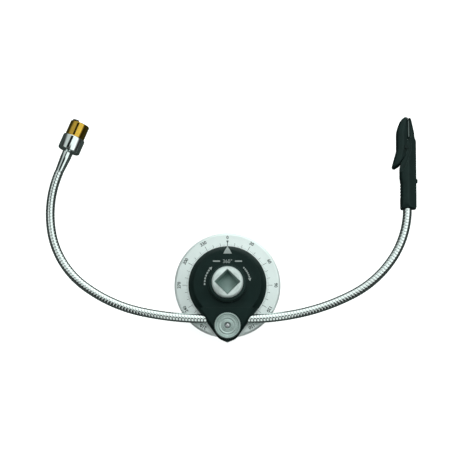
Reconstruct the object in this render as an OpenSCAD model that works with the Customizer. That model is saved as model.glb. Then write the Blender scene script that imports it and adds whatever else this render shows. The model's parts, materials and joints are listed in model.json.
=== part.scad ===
// Torque angle gauge with a half-inch square drive.
// A wrench turns the shaft and the dial, while a gooseneck arm holds the pointer housing still.
// Millimetres. The origin is on the drive axis at the output shoulder, and +Z points to the wrench.

/* [Drive shaft] */
// Width across the flats of the output square
square_w = 12.7; // [12.6:0.05:12.7]
// Length of the output square
square_l = 16; // [14:0.5:18]
// Diameter of the hub that takes the wrench
hub_d = 23.5; // [23.5:0.5:26]
// Height of the hub's top above the output shoulder
hub_top = 25; // [24:0.5:28]

/* [Dial] */
// Diameter of the graduated dial
dial_d = 80; // [74:1:90]
// Height of the dial's face above the output shoulder
dial_z = 7; // [6.8:0.1:7]

/* [Housing] */
// Radius of the round part of the housing
round_r = 29.5; // [28:0.5:32]
// Radius of the housing's nose
nose_r = 10.4; // [10:0.2:11]
// Distance from the drive axis to the clamp's nut
nose_y = 32.8; // [32.4:0.2:34]
// Height of the housing's main face
face_z = 15; // [14.4:0.2:15.6]
// Height of the nose's top
nose_z = 17; // [16.6:0.2:17.4]

/* [Gooseneck] */
// Outer diameter of the gooseneck
hose_d = 6.8; // [6.4:0.1:6.8]
// Distance from the drive axis to the gooseneck's axis
hose_y = 26.3; // [26:0.1:26.5]
// Height of the gooseneck's axis
hose_z = 12.2; // [12:0.1:12.3]
// Length of each section of the left arm
left_section = 48.4; // [45:0.1:60]
// Length of each section of the right arm
right_section = 40.8; // [38:0.1:55]

/* [Magnet end] */
// Diameter of the magnet's steel cup
cup_d = 17.2; // [17:0.2:20]
// Diameter of the brass sleeve
sleeve_d = 15; // [14.6:0.1:15]

/* [Clip] */
// Thickness of the clip from face to face
clip_t = 11; // [10.6:0.2:13]

/* [Hidden] */
$fn = 96;
gap = 0.05;                       // play between parts that slide or turn

journal_r = 9;                    // shaft inside the dial
bearing_r = 10.75;                // shaft inside the housing's bush
bearing_z = 8.9;                  // shoulder that the dial is pressed against
hub_z = 19.5;                     // underside of the hub
socket_w = square_w + 0.1;        // input square, across the flats
socket_z = 9.5;                   // bottom of the input square
corner_r = 8.45;                  // turned corners of the output square
rim = 0.9;                        // chamfer of the hub's rim

ring_z = 1;                       // bottom of the retaining ring's groove
ring_t = 1.2;                     // retaining ring's thickness
ring_r = 8.5;                     // groove's bottom radius
support_z = 2.35;                 // bottom of the support washer
disc_z = 3.15;                    // bottom of the disc spring
boss_z = 4.2;                     // bottom of the dial's boss
boss_r = 14;
boss_top = 8.2;
disc_t = 2;                       // thickness of the dial's disc

ball_r = 2;
ball_z = -square_l / 2;
ball_x = square_w / 2 - 1.2;      // distance of the ball's centre from the drive axis
ball_hole_x = -1.6;               // bottom of the ball's hole

bush_r = 13.2;
bush_z = 9.25;
flange_r = 13.6;
flange_z = 18.3;
collar_r = 14.6;

housing_z = dial_z + 0.8;         // underside of the housing and of the clamp plate
wall_z = 9.5;                     // top of the housing's upright wall
nose_wall_z = 14.6;               // top of the raised nose's upright wall
bevel_slope = 1.375;              // rise of the bevel for each millimetre inwards
step_y = 18.6;                    // where the raised nose starts
pocket_y = 21;                    // back edge of the clamp plate's pocket
pocket_z = 10.7;                  // roof of that pocket
nut_seat_r = 7;

stud_r = 2;
stud_head_r = 3.6;
stud_top = 22.2;
washer_z = nose_z + gap;
washer_t = 0.7;
nut_r = 10.1;
nut_z = washer_z + washer_t + gap;
nut_t = 4.8;
knurls = 44;

hose_r = hose_d / 2;
bore_r = hose_d / 4;
straight_x = 16;                  // half of the gooseneck's straight middle
flex_l = 4;                       // short stretch where one section bends against the next
spigot_r = 1.2;                   // spigots of both end pieces inside the gooseneck's curved bore
spigot_l = 6;
left_turns = [12, 25, 42.5, 33.5];
right_turns = [13, 14.7, 29, 33.3];

ferrule_l = 17;
cup_l = 11.6;
cup_bevel = 0.8;
sleeve_top = 40;                  // from the end of the gooseneck
sleeve_wall = 0.9;
pole_gap = 2.4;                   // width of the magnet between its two poles

cheek_z = clip_t / 2 - 2;         // half thickness of the tongue between the jaw's cheeks
pivot = [-0.5, 46.5];             // jaw's pin, from the end of the gooseneck
pin_r = 1.5;
plug_l = 24;
screw_y = 20.8;

section_nodes = [for (side = ["left", "right"], i = [1:4]) str(side, "_arm_", i)];
flex_nodes = [for (side = ["left", "right"], i = [1:3]) str(side, "_flex_", i)];

// ---- Shared shapes ----

// Flat ring between two heights
module ring(inner, outer, low, high) {
    translate([0, 0, low]) difference() {
        cylinder(r = outer, h = high - low);
        translate([0, 0, -1]) cylinder(r = inner, h = high - low + 2);
    }
}

// Sweep of a round wire along a list of points
function unit(v) = v / norm(v);
function path_dir(path, i) = unit(path[min(i + 1, len(path) - 1)] - path[max(i - 1, 0)]);
function wire_ring(path, i, r, sides) =
    let (along = path_dir(path, i), across = unit(cross([0, 0, 1], along)), up = cross(along, across))
    [for (k = [0:sides - 1]) path[i] + r * (cos(360 * k / sides) * across + sin(360 * k / sides) * up)];
module wire(path, r, sides = 8) {
    last = len(path) - 1;
    points = [for (i = [0:last]) each wire_ring(path, i, r, sides)];
    low = [for (i = [0:last - 1], k = [0:sides - 1])
        [i * sides + k, (i + 1) * sides + k, i * sides + (k + 1) % sides]];
    high = [for (i = [0:last - 1], k = [0:sides - 1])
        [i * sides + (k + 1) % sides, (i + 1) * sides + k, (i + 1) * sides + (k + 1) % sides]];
    first_cap = [for (k = [0:sides - 1]) k];
    last_cap = [for (k = [sides - 1:-1:0]) last * sides + k];
    polyhedron(points, concat(low, high, [first_cap, last_cap]));
}

// ---- Arm geometry: both arms start along +X and curve to the left, and the left arm is mirrored ----

function heading(turns, i) = i == 0 ? 0 : heading(turns, i - 1) + turns[i - 1];
function bend_r(l, turn) = l / (turn * PI / 180);
function arc_step(l, at, turn) = bend_r(l, turn) * [sin(at + turn) - sin(at), cos(at) - cos(at + turn)];
function section_start(l, turns, i) =
    i == 0 ? [straight_x, -hose_y]
           : section_start(l, turns, i - 1) + arc_step(l, heading(turns, i - 1), turns[i - 1]);

// Tube along one section, between two distances from its start
module arc_tube(l, turns, i, from, to) {
    r = bend_r(l, turns[i]);
    at = heading(turns, i);
    centre = section_start(l, turns, i) + r * [-sin(at), cos(at)];
    start_angle = at - 90 + turns[i] * from / l;
    translate([centre[0], centre[1], hose_z])
        rotate_extrude(angle = turns[i] * (to - from) / l, start = start_angle)
            translate([r, 0]) difference() {
                circle(r = hose_r);
                circle(r = bore_r);
            }
}

// Rigid stretch of a section, after its flexing stretch
module arm_section(l, turns, i) {
    color("gainsboro") arc_tube(l, turns, i, i == 0 ? 0 : flex_l, l);
}

// Flexing stretch at the start of a section
module flex_zone(l, turns, i) {
    color("darkgray") arc_tube(l, turns, i, 0, flex_l);
}

// Places what sits on an arm's end: its +Z runs on along the arm
module on_arm_end(l, turns) {
    end = section_start(l, turns, 4);
    translate([end[0], end[1], hose_z]) rotate([0, 90, heading(turns, 4)]) children();
}

// Places what lies flat on the right arm's end: its +Y runs on along the arm
module on_clip_frame() {
    end = section_start(right_section, right_turns, 4);
    translate([end[0], end[1], hose_z]) rotate(heading(right_turns, 4) - 90) children();
}

// ---- Drive shaft and dial ----

module output_square() {
    intersection() {
        rotate(45) translate([-square_w / 2, -square_w / 2, -square_l])
            cube([square_w, square_w, square_l + 0.5]);
        rotate_extrude() polygon([
            [0, -square_l], [corner_r - 1.4, -square_l], [corner_r, -square_l + 1.2],
            [corner_r, 0.5], [0, 0.5]
        ]);
    }
}

module input_square() {
    rotate(45) translate([-socket_w / 2, -socket_w / 2, socket_z])
        cube([socket_w, socket_w, hub_top]);
    // Flat bevels round the mouth, which start inside the square
    corner = socket_w * sqrt(2) / 2;
    translate([0, 0, hub_top - 1.1])
        cylinder(r1 = corner - 0.3, r2 = corner + 0.9, h = 1.2, $fn = 4);
}

module drive_shaft() {
    color("silver") difference() {
        union() {
            output_square();
            rotate_extrude() polygon([
                [0, 0], [journal_r, 0], [journal_r, ring_z], [ring_r, ring_z],
                [ring_r, ring_z + ring_t + 0.1], [journal_r, ring_z + ring_t + 0.1],
                [journal_r, bearing_z], [bearing_r, bearing_z], [bearing_r, hub_z],
                [hub_d / 2, hub_z], [hub_d / 2, hub_top - rim], [hub_d / 2 - rim, hub_top],
                [0, hub_top]
            ]);
        }
        input_square();
        translate([0, 0, ball_z]) rotate([0, 90, 45]) translate([0, 0, ball_hole_x])
            cylinder(r = ball_r + gap, h = square_w);
    }
}

// Open ring with an ear at each end, and a plier hole in each ear
module retaining_ring() {
    open_a = 22;
    ear_x = 10.3;
    color("dimgray") translate([0, 0, ring_z + gap]) difference() {
        union() {
            rotate_extrude(angle = 360 - 2 * open_a, start = open_a - 90)
                translate([ring_r + gap, 0]) square([2, ring_t]);
            for (side = [-1, 1]) rotate(side * open_a - 90) translate([ear_x, 0, 0])
                cylinder(r = 1.6, h = ring_t);
        }
        for (side = [-1, 1]) rotate(side * open_a - 90) translate([ear_x, 0, -1])
            cylinder(r = 0.7, h = ring_t + 2);
    }
}

module support_washer() {
    color("darkgray") ring(journal_r + gap, 12.5, support_z, disc_z - gap);
}

module disc_spring() {
    color("slategray") rotate_extrude() polygon([
        [journal_r + 0.1, boss_z - 0.55], [12.4, disc_z], [12.4, disc_z + 0.45],
        [journal_r + 0.1, boss_z - gap]
    ]);
}

module friction_washer() {
    color("sienna") ring(journal_r + gap, bearing_r - gap, boss_top + gap, bearing_z - gap);
}

module dial() {
    color("aliceblue") rotate_extrude() polygon([
        [journal_r + gap, boss_z], [boss_r, boss_z], [boss_r, dial_z - disc_t],
        [dial_d / 2 - 0.5, dial_z - disc_t], [dial_d / 2, dial_z - disc_t + 0.5],
        [dial_d / 2, dial_z - 0.8], [dial_d / 2 - 1.6, dial_z],
        [boss_r, dial_z], [boss_r, boss_top], [journal_r + gap, boss_top]
    ]);
}

// Places what sits in the output square's cross hole: its +Z runs outwards
module in_ball_hole() {
    translate([0, 0, ball_z]) rotate([0, 90, 45]) children();
}

module detent_ball() {
    color("lightgray") in_ball_hole() translate([0, 0, ball_x]) sphere(r = ball_r);
}

module detent_spring() {
    coil_r = 1.4;
    wire_r = 0.3;
    turns = 5;
    low = ball_hole_x + wire_r + gap;
    high = ball_x - ball_r - wire_r + 0.2;
    path = [for (a = [0:20:360 * turns])
        [coil_r * cos(a), coil_r * sin(a), low + (high - low) * a / (360 * turns)]];
    color("dimgray") in_ball_hole() wire(path, wire_r);
}

// ---- Housing ----

// Solid with a teardrop outline, an upright wall and a bevel above it
module bevelled_teardrop(wall, top) {
    inset = (top - wall) / bevel_slope;
    hull() for (end = [[0, round_r], [-nose_y, nose_r]]) translate([0, end[0], 0]) {
        translate([0, 0, housing_z]) cylinder(r = end[1], h = wall - housing_z, $fn = 64);
        translate([0, 0, wall])
            cylinder(r1 = end[1], r2 = end[1] - inset, h = top - wall, $fn = 64);
    }
}

module housing() {
    color([0.16, 0.19, 0.19]) difference() {
        union() {
            bevelled_teardrop(wall_z, face_z);
            intersection() {
                bevelled_teardrop(nose_wall_z, nose_z);
                translate([-50, -100, 0]) cube([100, 100 - step_y, 50]);
            }
            translate([0, 0, face_z - 2]) cylinder(r = collar_r, h = flange_z - face_z + 2);
            translate([0, -nose_y, pocket_z]) cylinder(r = nut_seat_r, h = nose_z - pocket_z);
        }
        cylinder(r = bush_r, h = 50);
        cylinder(r = boss_r + 1, h = bush_z);
        translate([-50, -100, 0]) cube([100, 100 - pocket_y, pocket_z]);
        translate([-50, -hose_y, hose_z]) rotate([0, 90, 0]) cylinder(r = hose_r + gap, h = 100);
        translate([-50, -hose_y - hose_r - gap, 0]) cube([100, hose_d + 2 * gap, hose_z]);
        translate([0, -nose_y, 0]) cylinder(r = stud_r + 0.1, h = 50);
    }
}

module shaft_bush() {
    color([0.08, 0.08, 0.09]) difference() {
        union() {
            translate([0, 0, bush_z]) cylinder(r = bush_r, h = hub_z - gap - bush_z);
            translate([0, 0, flange_z]) cylinder(r = flange_r, h = hub_z - gap - flange_z);
        }
        cylinder(r = bearing_r + gap, h = 50);
    }
}

module thrust_washer() {
    color("peru") ring(bearing_r + gap, flange_r - 0.1, boss_top + gap, bush_z - gap);
}

// ---- Gooseneck clamp ----

// Outline of the nose in front of a straight back edge, with a small point at its tip
module clamp_outline() {
    r_big = round_r - 0.2;
    r_nose = nose_r - 0.2;
    lean = asin((r_big - r_nose) / nose_y);
    back = pocket_y + 0.3;
    back_x = (r_big - back * sin(lean)) / cos(lean);
    point_a = 24;
    arc = [for (k = [0:12]) -lean - (90 - lean - point_a) * k / 12];
    right = [for (a = arc) [r_nose * cos(a), r_nose * sin(a) - nose_y]];
    left = [for (k = [12:-1:0]) [-right[k][0], right[k][1]]];
    polygon(concat([[-back_x, -back], [back_x, -back]], right, [[0, -nose_y - r_nose - 0.9]], left));
}

module clamp_plate() {
    color("lightsteelblue") difference() {
        translate([0, 0, housing_z]) linear_extrude(height = pocket_z - 0.5 - housing_z)
            clamp_outline();
        translate([-50, -hose_y, hose_z]) rotate([0, 90, 0]) cylinder(r = hose_r + gap, h = 100);
        translate([0, -nose_y, 0]) cylinder(r = stud_r, h = 50);
        translate([0, -nose_y, housing_z])
            cylinder(r1 = stud_head_r, r2 = stud_r, h = stud_head_r - stud_r);
    }
}

module clamp_stud() {
    color("gray") translate([0, -nose_y, 0]) rotate_extrude() polygon([
        [0, housing_z], [stud_head_r, housing_z], [stud_r, housing_z + stud_head_r - stud_r],
        [stud_r, stud_top - 0.7], [stud_r - 0.9, stud_top], [0, stud_top]
    ]);
}

module clamp_washer() {
    color("silver") translate([0, -nose_y, 0])
        ring(stud_r + 0.1, nut_seat_r - 0.8, washer_z, washer_z + washer_t);
}

module thumb_nut() {
    top = nut_z + nut_t;
    color("lightslategray") translate([0, -nose_y, 0]) difference() {
        rotate_extrude() polygon([
            [stud_r + gap, nut_z], [6, nut_z], [6, nut_z + 0.6], [nut_r - 0.5, nut_z + 0.6],
            [nut_r, nut_z + 1.1], [nut_r, top - 0.5], [nut_r - 0.5, top], [8.6, top],
            [8.3, top - 0.8], [3.6, top - 0.8], [3.3, top - 0.3], [2.5, top - 0.3],
            [stud_r + gap, top - 0.7]
        ]);
        for (k = [0:knurls - 1]) rotate(360 * k / knurls) translate([nut_r, 0, nut_z])
            rotate(45) translate([-0.25, -0.25, 0]) cube([0.5, 0.5, nut_t + 1]);
    }
}

// ---- Gooseneck ----

module arm_middle() {
    color("gainsboro") translate([-straight_x, -hose_y, hose_z]) rotate([0, 90, 0]) difference() {
        cylinder(r = hose_r, h = 2 * straight_x);
        translate([0, 0, -1]) cylinder(r = bore_r, h = 2 * straight_x + 2);
    }
}

module left_arm(i) {
    mirror([1, 0, 0]) arm_section(left_section, left_turns, i - 1);
}

module right_arm(i) {
    arm_section(right_section, right_turns, i - 1);
}

module left_flex(i) {
    mirror([1, 0, 0]) flex_zone(left_section, left_turns, i);
}

module right_flex(i) {
    flex_zone(right_section, right_turns, i);
}

// ---- Magnet on the left arm ----

module on_left_end() {
    mirror([1, 0, 0]) on_arm_end(left_section, left_turns) children();
}

module magnet_ferrule() {
    color("gainsboro") on_left_end() difference() {
        rotate_extrude() polygon([
            [0, -spigot_l], [spigot_r, -spigot_l], [spigot_r, 0], [3.1, 0], [4, 11],
            [4, ferrule_l], [0, ferrule_l]
        ]);
        translate([0, 0, ferrule_l - 7]) cylinder(r = 1.5, h = 10);
    }
}

module magnet_cup() {
    color("silver") on_left_end() difference() {
        rotate_extrude() polygon([
            [0, ferrule_l], [cup_d / 2 - cup_bevel, ferrule_l], [cup_d / 2, ferrule_l + cup_bevel],
            [cup_d / 2, ferrule_l + cup_l - 0.3], [cup_d / 2 - 0.3, ferrule_l + cup_l],
            [0, ferrule_l + cup_l]
        ]);
        translate([0, 0, ferrule_l - 1]) cylinder(r = 1.6, h = 20);
        translate([0, 0, ferrule_l + 3]) cylinder(r = sleeve_d / 2, h = 20);
    }
}

module cup_screw() {
    color("dimgray") on_left_end() rotate_extrude() polygon([
        [0, ferrule_l - 6], [1.5, ferrule_l - 6], [1.5, ferrule_l + 3], [2.8, ferrule_l + 3],
        [2.8, ferrule_l + 5], [0, ferrule_l + 5]
    ]);
}

module brass_sleeve() {
    color("goldenrod") on_left_end() rotate_extrude() polygon([
        [sleeve_d / 2 - sleeve_wall, ferrule_l + 3], [sleeve_d / 2, ferrule_l + 3],
        [sleeve_d / 2, sleeve_top - 0.4], [sleeve_d / 2 - 0.4, sleeve_top],
        [sleeve_d / 2 - sleeve_wall, sleeve_top]
    ]);
}

// Half of a round bar beside the magnet
module pole(side, top) {
    low = ferrule_l + 5.1;
    r = sleeve_d / 2 - sleeve_wall - gap;
    color("darkslategray") on_left_end() intersection() {
        translate([0, 0, low]) cylinder(r = r, h = top - low);
        translate([-20, side > 0 ? pole_gap / 2 : -20, 0]) cube([40, 20 - pole_gap / 2, 60]);
    }
}

module left_pole() {
    pole(-1, sleeve_top + 1.2);
}

module right_pole() {
    pole(1, sleeve_top + 0.2);
}

module magnet() {
    low = ferrule_l + 5.1;
    color("lightgray") on_left_end() translate([-5.9, -pole_gap / 2, low])
        cube([11.8, pole_gap, sleeve_top - 0.6 - low]);
}

// ---- Clip on the right arm ----

// Handle and fixed jaw, seen from the face
module clip_body_outline() {
    polygon([
        [-5.3, -1.2], [6.5, -0.7], [6.9, 3], [6.9, 51.5], [5.9, 53.6], [5.6, 57.6],
        [3.5, 67.7], [2.9, 69.1], [1.2, 69.5], [1.2, 67.4], [1.9, 67.4], [1.9, 53.6],
        [-2.5, 50.8], [-4.5, 48.5], [-4.5, 36], [-5.7, 31], [-5.8, 23], [-5.4, 21]
    ]);
}

// Room for the jaw's cheeks, from closed to fully open
module cheek_room() {
    polygon([
        [-14, 27.4], [-4.5, 27.4], [-2, 30], [3.1, 43.8], [3.1, 49.4], [1.9, 53.6],
        [-14, 53.6]
    ]);
}

// Jaw and finger lever, seen from the face
module jaw_outline() {
    polygon([
        [-1.3, 70], [-3.6, 68.4], [-5.65, 65.6], [-8.15, 57.6], [-8.15, 44.1],
        [-11.6, 31.9], [-11.3, 30.6], [-9.5, 29.9], [-5.65, 32.2], [2.1, 44.2], [2.7, 46.5],
        [2.1, 49], [0.4, 52.6], [0.4, 67.4], [1.1, 67.4], [1.1, 69.5]
    ]);
}

module flat_piece(half_t) {
    linear_extrude(height = 2 * half_t, center = true) children();
}

module clip_body() {
    grips = 5;
    color([0.13, 0.15, 0.15]) on_clip_frame() difference() {
        flat_piece(clip_t / 2) clip_body_outline();
        for (side = [-1, 1]) translate([0, 0, side * (cheek_z + 10)]) flat_piece(10) cheek_room();
        translate([-6, 42.8, -1.9]) cube([9.2, 7.4, 3.8]);
        translate([pivot[0], pivot[1], 0]) cylinder(r = pin_r + gap, h = 40, center = true);
        translate([0, -5, 0]) rotate([-90, 0, 0]) cylinder(r = hose_r + gap, h = plug_l + 5.3);
        translate([3, screw_y, 0]) rotate([0, 90, 0]) cylinder(r = 1, h = 8);
        for (k = [0:grips - 1]) translate([-6.2, 8.9 + 2.4 * k, 0])
            cylinder(r = 1.3, h = 40, center = true);
    }
}

module clip_jaw() {
    color([0.11, 0.13, 0.13]) on_clip_frame() difference() {
        flat_piece(clip_t / 2) jaw_outline();
        flat_piece(cheek_z + 0.1) polygon([
            [-5.3, 53.4], [-5.3, 44.6], [-9.35, 30.8], [-8, 25], [5, 25], [5, 53.4]
        ]);
        translate([pivot[0], pivot[1], 0]) cylinder(r = pin_r, h = 40, center = true);
    }
}

module clip_pin() {
    color("silver") on_clip_frame() translate([pivot[0], pivot[1], 0])
        cylinder(r = pin_r, h = clip_t - 0.2, center = true);
}

module clip_spring() {
    coil_r = 2.4;
    rise = 1.25;
    turns = 2;
    coil = [for (a = [0:20:360 * turns])
        [coil_r * cos(-90 - a), coil_r * sin(-90 - a), rise * (a / (180 * turns) - 1)]];
    path = concat([[3.2, -coil_r, -rise]], coil, [[-4.2, -coil_r, rise]]);
    color("gray") on_clip_frame() translate([pivot[0], pivot[1], 0]) wire(path, 0.4);
}

module clip_plug() {
    color("silver") on_clip_frame() rotate([-90, 0, 0]) difference() {
        union() {
            translate([0, 0, -spigot_l]) cylinder(r = spigot_r, h = spigot_l + 2);
            translate([0, 0, gap]) cylinder(r = hose_r, h = plug_l);
        }
        translate([-1, 0, screw_y]) rotate([0, 90, 0]) cylinder(r = 1, h = 10);
    }
}

module clip_screw() {
    color("dimgray") on_clip_frame() translate([0, screw_y, 0]) rotate([0, 90, 0]) {
        translate([0, 0, -0.5]) cylinder(r = 1 - gap, h = 7.9);
        translate([0, 0, 6.9]) cylinder(r = 1.7, h = 1);
    }
}

module jaw_strip(low) {
    color("darkgray") on_clip_frame() translate([low, 54.6, -4]) cube([0.65, 12.6, 8]);
}

module fixed_jaw_strip() {
    jaw_strip(1.25);
}

module moving_jaw_strip() {
    jaw_strip(0.4);
}

drive_shaft();
retaining_ring();
support_washer();
disc_spring();
friction_washer();
dial();
detent_ball();
detent_spring();
housing();
shaft_bush();
thrust_washer();
clamp_plate();
clamp_stud();
clamp_washer();
thumb_nut();
arm_middle();
for (i = [1:4]) left_arm(i);
for (i = [1:4]) right_arm(i);
for (i = [1:3]) left_flex(i);
for (i = [1:3]) right_flex(i);
magnet_ferrule();
magnet_cup();
cup_screw();
brass_sleeve();
magnet();
left_pole();
right_pole();
clip_body();
clip_jaw();
clip_pin();
clip_spring();
clip_plug();
clip_screw();
fixed_jaw_strip();
moving_jaw_strip();
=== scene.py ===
"""Looks of the torque angle gauge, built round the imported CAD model. Sizes are millimetres times MM."""
import json
import math

import bmesh
import bpy
from mathutils import Matrix, Vector
from mathutils.geometry import delaunay_2d_cdt


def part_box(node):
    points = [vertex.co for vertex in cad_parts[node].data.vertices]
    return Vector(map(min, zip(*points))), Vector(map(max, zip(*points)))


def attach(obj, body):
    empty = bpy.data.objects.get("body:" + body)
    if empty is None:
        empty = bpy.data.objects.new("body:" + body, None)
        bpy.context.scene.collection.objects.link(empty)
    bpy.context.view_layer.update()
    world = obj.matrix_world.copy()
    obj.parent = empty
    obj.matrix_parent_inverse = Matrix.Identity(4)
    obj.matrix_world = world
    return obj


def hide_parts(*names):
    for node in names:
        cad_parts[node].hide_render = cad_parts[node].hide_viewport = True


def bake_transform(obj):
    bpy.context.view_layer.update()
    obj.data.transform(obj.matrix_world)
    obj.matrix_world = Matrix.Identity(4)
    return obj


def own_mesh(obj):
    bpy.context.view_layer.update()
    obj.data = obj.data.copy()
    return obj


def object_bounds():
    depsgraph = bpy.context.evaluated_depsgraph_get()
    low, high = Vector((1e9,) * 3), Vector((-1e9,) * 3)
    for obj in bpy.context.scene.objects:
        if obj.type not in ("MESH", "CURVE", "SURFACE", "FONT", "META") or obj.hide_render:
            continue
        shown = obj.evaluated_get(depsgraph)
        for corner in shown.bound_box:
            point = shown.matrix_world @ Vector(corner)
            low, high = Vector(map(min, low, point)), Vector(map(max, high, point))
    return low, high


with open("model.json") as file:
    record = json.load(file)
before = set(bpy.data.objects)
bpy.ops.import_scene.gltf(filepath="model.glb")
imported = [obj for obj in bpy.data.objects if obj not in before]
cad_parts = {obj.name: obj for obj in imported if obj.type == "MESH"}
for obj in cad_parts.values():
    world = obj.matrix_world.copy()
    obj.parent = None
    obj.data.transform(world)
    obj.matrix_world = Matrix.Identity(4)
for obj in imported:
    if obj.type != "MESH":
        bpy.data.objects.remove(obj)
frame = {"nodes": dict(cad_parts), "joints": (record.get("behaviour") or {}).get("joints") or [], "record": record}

CAD_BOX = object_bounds()
MM = 0.001
SCENE = bpy.context.scene
JOINTS = {joint["name"]: joint for joint in frame["joints"]}


# -------- mesh helpers

def top_of(node):
    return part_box(node)[1][2] / MM


def bottom_of(node):
    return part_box(node)[0][2] / MM


def width_of(node, axis=0):
    low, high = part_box(node)
    return (high[axis] - low[axis]) / MM


def new_object(name, data):
    obj = bpy.data.objects.new(name, data)
    bpy.context.collection.objects.link(obj)
    return obj


def add_mesh(name, points, faces, material, sharp=35, place=None):
    """New object from points in millimetres, smooth but for edges sharper than an angle in degrees."""
    mesh = bpy.data.meshes.new(name)
    mesh.from_pydata([Vector(p) * MM for p in points], [], faces)
    mesh.validate()
    obj = new_object(name, mesh)
    obj.data.materials.append(material)
    tidy_normals(obj)
    smooth(obj, sharp)
    if place is not None:
        obj.matrix_world = place
    return obj


def tidy_normals(obj):
    work = bmesh.new()
    work.from_mesh(obj.data)
    bmesh.ops.recalc_face_normals(work, faces=work.faces)
    work.to_mesh(obj.data)
    work.free()


def smooth(obj, sharp=35):
    obj.data.shade_smooth()
    obj.data.set_sharp_from_angle(angle=math.radians(sharp))


def apply_modifiers(obj):
    """Writes the result of the object's modifiers into its mesh."""
    bpy.context.view_layer.update()
    result = bpy.data.meshes.new_from_object(obj.evaluated_get(bpy.context.evaluated_depsgraph_get()))
    obj.modifiers.clear()
    obj.data = result


def boolean(obj, other, operation):
    """Joins or cuts two closed meshes, and removes the second one."""
    step = obj.modifiers.new(operation, "BOOLEAN")
    step.operation = operation
    step.solver = "EXACT"
    step.object = other
    apply_modifiers(obj)
    bpy.data.objects.remove(other)


def round_edges(obj, width, segments=3, angle=30):
    """Rounds every edge sharper than an angle, by a width in millimetres."""
    step = obj.modifiers.new("round", "BEVEL")
    step.width = width * MM
    step.segments = segments
    step.limit_method = "ANGLE"
    step.angle_limit = math.radians(angle)
    step.harden_normals = False
    step.use_clamp_overlap = True
    apply_modifiers(obj)


def polar(radius, turn, centre=(0, 0)):
    """Point of a circle in the plane."""
    return centre[0] + radius * math.cos(turn), centre[1] + radius * math.sin(turn)


def rounded_corners(points, radius, steps=3, closed=True):
    """Outline with each corner replaced by a short curve that starts at most a radius away from it."""
    count = len(points)
    result = []
    for i, corner in enumerate(points):
        if not closed and i in (0, count - 1):
            result.append(tuple(corner))
            continue
        here = Vector(corner)
        before = Vector(points[i - 1]) - here
        after = Vector(points[(i + 1) % count]) - here
        reach = min(radius, before.length * 0.45, after.length * 0.45)
        start = here + before.normalized() * reach
        end = here + after.normalized() * reach
        for k in range(steps + 1):
            t = k / steps
            result.append(tuple((1 - t) ** 2 * start + 2 * t * (1 - t) * here + t * t * end))
    return result


def lathe(name, profile, material, segments=128, soften=0.0, place=None, sharp=35, shape=None):
    """Turned piece with a (radius, height) profile round the metal. Shape can change a radius by angle."""
    if soften:
        profile = rounded_corners(profile, soften)
    solid = min(radius for radius, height in profile) < 1e-6
    rings = []
    for radius, height in profile:
        if radius > 1e-6:
            turns = [2 * math.pi * k / segments for k in range(segments)]
            radii = [shape(radius, turn) if shape else radius for turn in turns]
            rings.append([(*polar(r, turn), height) for r, turn in zip(radii, turns)])
    points, faces = loft(rings)
    if not solid:
        last = len(points) - segments
        around = [(k, (k + 1) % segments) for k in range(segments)]
        faces = faces[2:] + [[last + k, last + n, n, k] for k, n in around]
    return add_mesh(name, points, faces, material, sharp, place)


def loft(rings):
    """Points and faces of a closed solid through rings of equal count, from the lowest to the highest."""
    count = len(rings[0])
    points = [point for ring in rings for point in ring]
    faces = [list(range(count))[::-1], [len(points) - count + k for k in range(count)]]
    for i in range(len(rings) - 1):
        for k in range(count):
            n = (k + 1) % count
            faces.append([i * count + k, i * count + n, (i + 1) * count + n, (i + 1) * count + k])
    return points, faces


def slab(outline, low, high):
    return loft([[(x, y, z) for x, y in outline] for z in (low, high)])


def prism(name, outline, low, high, material, sharp=35, place=None):
    """Solid with a flat outline between two heights."""
    return add_mesh(name, *slab(outline, low, high), material, sharp, place)


def block(name, low, high, material, place=None):
    (x0, y0, z0), (x1, y1, z1) = low, high
    return prism(name, [(x0, y0), (x1, y0), (x1, y1), (x0, y1)], z0, z1, material, 35, place)


def merge(solids):
    """Points and faces of several solids as one."""
    points, faces = [], []
    for new_points, new_faces in solids:
        faces += [[len(points) + k for k in face] for face in new_faces]
        points += new_points
    return points, faces


def cut(obj, other):
    boolean(obj, other, "DIFFERENCE")


def rod(name, radius, start, end, material, segments=64):
    """Straight bar between two points, to cut bores with."""
    start, end = Vector(start), Vector(end)
    length = (end - start).length
    place = Matrix.Translation(start * MM) @ (end - start).to_track_quat("Z", "Y").to_matrix().to_4x4()
    return lathe(name, [(0, 0), (radius, 0), (radius, length), (0, length)], material, segments, place=place)


# -------- materials

class Nodes:
    """A node tree with short ways to add and join nodes. A value can be a number, a tuple or a socket."""

    def __init__(self, owner):
        owner.use_nodes = True
        self.tree = owner.node_tree

    def feed(self, socket, value):
        if isinstance(value, bpy.types.NodeSocket):
            self.tree.links.new(value, socket)
        else:
            socket.default_value = value

    def node(self, kind, *inputs, **settings):
        """New node. Each input is a socket's name or number and its value."""
        made = self.tree.nodes.new("ShaderNode" + kind)
        for key, value in settings.items():
            setattr(made, key, value)
        for key, value in inputs:
            self.feed(made.inputs[key], value)
        return made

    def maths(self, operation, *values):
        return self.node("Math", *enumerate(values), operation=operation).outputs["Value"]

    def product(self, *values):
        result = values[0]
        for value in values[1:]:
            result = self.maths("MULTIPLY", result, value)
        return result

    def remap(self, source, start, end, low=0.0, high=1.0, kind="LINEAR"):
        """A value that goes from low to high as the source goes from start to end."""
        names = ("Value", "From Min", "From Max", "To Min", "To Max")
        inputs = zip(names, (source, start, end, low, high))
        return self.node("MapRange", *inputs, interpolation_type=kind).outputs["Result"]

    def ramp(self, source, start, end):
        return self.remap(source, start, end, kind="SMOOTHSTEP")

    def mix(self, share, first, second):
        """Colour between two others."""
        return self.node("Mix", ("Factor", share), (6, first), (7, second), data_type="RGBA").outputs[2]


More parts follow.
